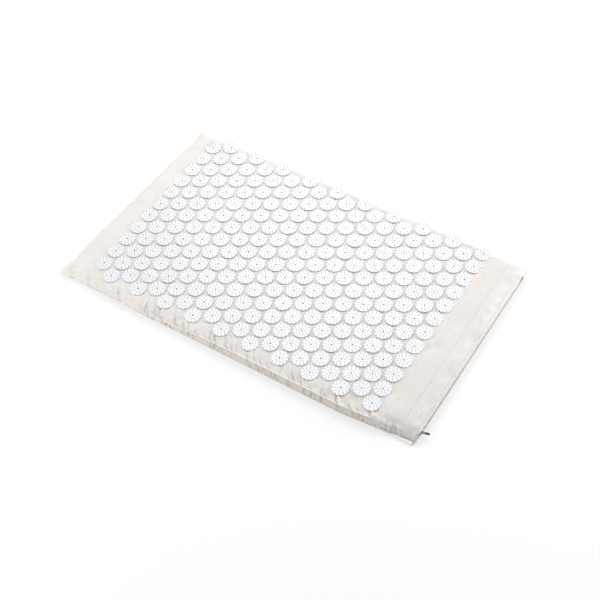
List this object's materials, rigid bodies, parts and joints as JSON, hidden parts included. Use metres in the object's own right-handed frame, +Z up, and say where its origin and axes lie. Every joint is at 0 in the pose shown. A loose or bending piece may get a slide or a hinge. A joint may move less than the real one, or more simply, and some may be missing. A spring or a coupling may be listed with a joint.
{
  "type": "acupressure mat",
  "caption": "Thin cloth-covered foam mat whose top carries staggered rows of spiked plastic discs, with a zip along one short end.",
  "frame": {"origin": "middle of the bounding box, on the surface that the mat lies on", "axes": "+X along the mat to its zipped short end, +Y across it to the far long side, +Z up out of the spiked face"},
  "size_m": [0.7448, 0.4128, 0.0255],
  "materials": {
    "linen": "natural linen-like plain weave, matt",
    "linen_underside": "the same plain weave on the underside, matt",
    "foam": "open-cell soft foam",
    "rosette_plastic": "moulded white plastic, satin",
    "zip_tape": "woven tape",
    "zip_nylon": "moulded nylon teeth",
    "slider_metal": "light bronze-toned enamel on die-cast metal",
    "pull_paint": "dark brown enamel"
  },
  "bodies": {
    "mat": {"cover_top_panel": "linen", "cover_bottom_panel": "linen_underside", "foam_core": "foam", "rosette_row_01": "rosette_plastic", "rosette_row_02": "rosette_plastic", "rosette_row_03": "rosette_plastic", "rosette_row_04": "rosette_plastic", "rosette_row_05": "rosette_plastic", "rosette_row_06": "rosette_plastic", "rosette_row_07": "rosette_plastic", "rosette_row_08": "rosette_plastic", "rosette_row_09": "rosette_plastic", "rosette_row_10": "rosette_plastic", "rosette_row_11": "rosette_plastic", "rosette_row_12": "rosette_plastic", "rosette_row_13": "rosette_plastic", "rosette_row_14": "rosette_plastic", "rosette_row_15": "rosette_plastic", "rosette_row_16": "rosette_plastic", "rosette_row_17": "rosette_plastic", "rosette_row_18": "rosette_plastic", "rosette_row_19": "rosette_plastic", "rosette_row_20": "rosette_plastic", "zip_tape_upper": "zip_tape", "zip_tape_lower": "zip_tape", "zip_teeth_upper": "zip_nylon", "zip_teeth_lower": "zip_nylon", "zip_top_stop_upper": "slider_metal", "zip_top_stop_lower": "slider_metal", "zip_bottom_stop": "slider_metal"},
    "slider": {"zip_slider": "slider_metal"},
    "pull": {"zip_pull": "pull_paint"}
  },
  "joints": [
    {"name": "zip_slide", "type": "slide", "parent": "mat", "child": "slider", "axis": [-0.0339, 0.9994, 0], "range_m": [0, 0.34208]},
    {"name": "pull_swing", "type": "hinge", "parent": "slider", "child": "pull", "pos_m": [0.36022, -0.17513, 0.01], "axis": [0, 0, 1], "range_deg": [-98, 72]}
  ]
}
